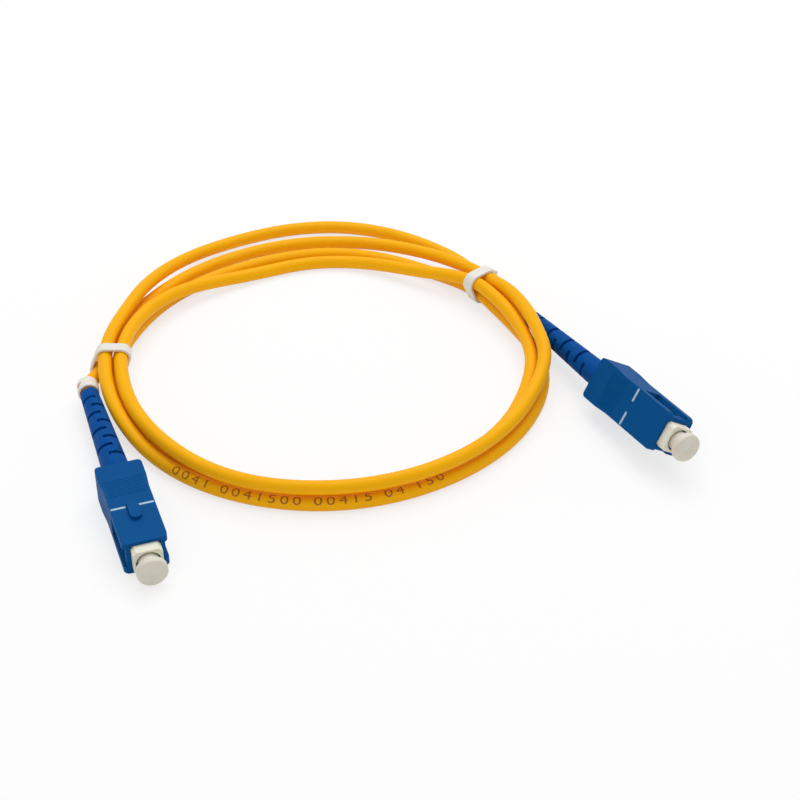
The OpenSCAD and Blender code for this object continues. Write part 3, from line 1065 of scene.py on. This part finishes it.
def makeRingDigit():    # one plain number, laid round the ring
    digit = flatWords(ring["digit"], ring["digitHeight"], 1, ring["digitRows"])
    middle = sum((corner.co for corner in digit.data.vertices), Vector()) / len(digit.data.vertices)
    radius = ring["diameter"] / 2
    out = radius + ring["lift"]
    for corner in digit.data.vertices:
        turn = math.radians(ring["digitAngle"]) - (corner.co.y - middle.y) / radius
        corner.co = (out * math.cos(turn), corner.co.x - middle.x, out * math.sin(turn))
    made = settle(digit, "ringDigit", ringPlace, "ink", "tie_white", "cord_set")
    bpy.data.objects.remove(digit)
    return made


tieLeft = makeTie("tieBandLeft", "tie_left", cord["leftTieTurn"], False)
tieRight = makeTie("tieBandRight", "tie_right", cord["rightTieTurn"], True)
markerRing = makeRing()
ringDigit = makeRingDigit()
print("ties and ring made")


marking = {
    "text": "0041 0041500 00415 04 150",
    "height": 1.9,
    "spacing": 1.35,
    "turn": 720,             # the coil's third turn carries the print
    "from": 311,             # from the left end to the right end, seen from the front
    "to": 242,
    "firstFaceAngle": 52,    # above the level, on the outer side of the strand
    "lastFaceAngle": 80,
    "ahead": 0.5,            # degrees, to find which way the strand runs
    "lift": 0.012,
    "rows": 5,
}


def makeMarking():
    words = flatWords(marking["text"], marking["height"], marking["spacing"], marking["rows"])
    words.name = "lengthMarks"
    low = min(corner.co.x for corner in words.data.vertices)
    high = max(corner.co.x for corner in words.data.vertices)
    radius, step = cord["diameter"] / 2, marking["ahead"]
    faceTurn = marking["lastFaceAngle"] - marking["firstFaceAngle"]
    for corner in words.data.vertices:    # lays each point on the round jacket
        share = (corner.co.x - low) / (high - low)
        angle = marking["turn"] + marking["from"] + (marking["to"] - marking["from"]) * share
        point = coilPoint(angle)
        ahead = (coilPoint(angle + step) - coilPoint(angle - step)).normalized()
        side = -ahead.cross(Vector((0, 0, 1))).normalized()
        up = ahead.cross(side) * (1 if ahead.cross(side).z > 0 else -1)
        faceAngle = marking["firstFaceAngle"] + faceTurn * share ** 2
        turn = math.radians(faceAngle) + corner.co.y / radius
        outward = side * math.cos(turn) + up * math.sin(turn)
        corner.co = point + outward * (radius + marking["lift"])
    words.data.transform(Matrix.Scale(mm, 4))
    words.data.materials.clear()
    words.data.materials.append(materials["ink"])
    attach(words, "cord_set")
    return words


lengthMarks = makeMarking()
[tuple(p * mm) for p in line]
print("printed marks made")


studio = {    # in metres
    "floorSize": 6.0,
    "floorDrop": 0.00005,
    "whiteShare": 0.7,       # how much of the floor is plain white where the camera sees it
    "keySpot": (0.25, 0.35, 0.9),
    "keyPower": 5.9,
    "keySize": 0.9,
    "fillSpot": (-0.7, -0.5, 0.8),
    "fillPower": 0.8,
    "fillSize": 1.0,
    "lampAim": (0.05, 0.03, 0),
    "world": 0.52,
}


def makeFloor():
    clearSelection()
    bpy.ops.mesh.primitive_plane_add(size=studio["floorSize"], location=(0, 0, -studio["floorDrop"]))
    floor = bpy.context.object
    floor.name = "floor"
    finish = Finish("paperFloor", {"Roughness": 0.9, "Base Color": linear(253, 253, 253)})
    seen, mirrored, through = (
        finish.node("ShaderNodeLightPath", {}, {}, f"Is {ray} Ray")
        for ray in ("Camera", "Glossy", "Transmission")
    )
    glow = finish.node("ShaderNodeEmission", {}, {"Color": (1, 1, 1, 1), "Strength": 1.0})
    share = (seen + mirrored + through) * studio["whiteShare"]
    paper = Wire(finish, finish.shader.outputs[0])
    mix = finish.node("ShaderNodeMixShader", {}, {0: share, 1: paper, 2: glow})
    finish.set(finish.nodes["Material Output"], {"Surface": mix})
    floor.data.materials.append(finish.material)


def addLamp(name, spot, power, size):
    clearSelection()
    bpy.ops.object.light_add(type="AREA", location=spot)
    lamp = bpy.context.object
    lamp.name = name
    lamp.data.energy = power
    lamp.data.size = size
    aim = Vector(studio["lampAim"]) - Vector(spot)
    lamp.rotation_euler = aim.to_track_quat("-Z", "Y").to_euler()


def makeLight():
    for name in ("key", "fill"):
        addLamp(f"{name}Lamp", studio[f"{name}Spot"], studio[f"{name}Power"], studio[f"{name}Size"])
    world = bpy.data.worlds.new("studio")
    world.use_nodes = True
    bpy.context.scene.world = world
    background = world.node_tree.nodes["Background"]
    background.inputs["Color"].default_value = (1, 1, 1, 1)
    background.inputs["Strength"].default_value = studio["world"]


makeFloor()
makeLight()
bpy.context.scene.view_settings.view_transform = "Standard"
print("studio set")
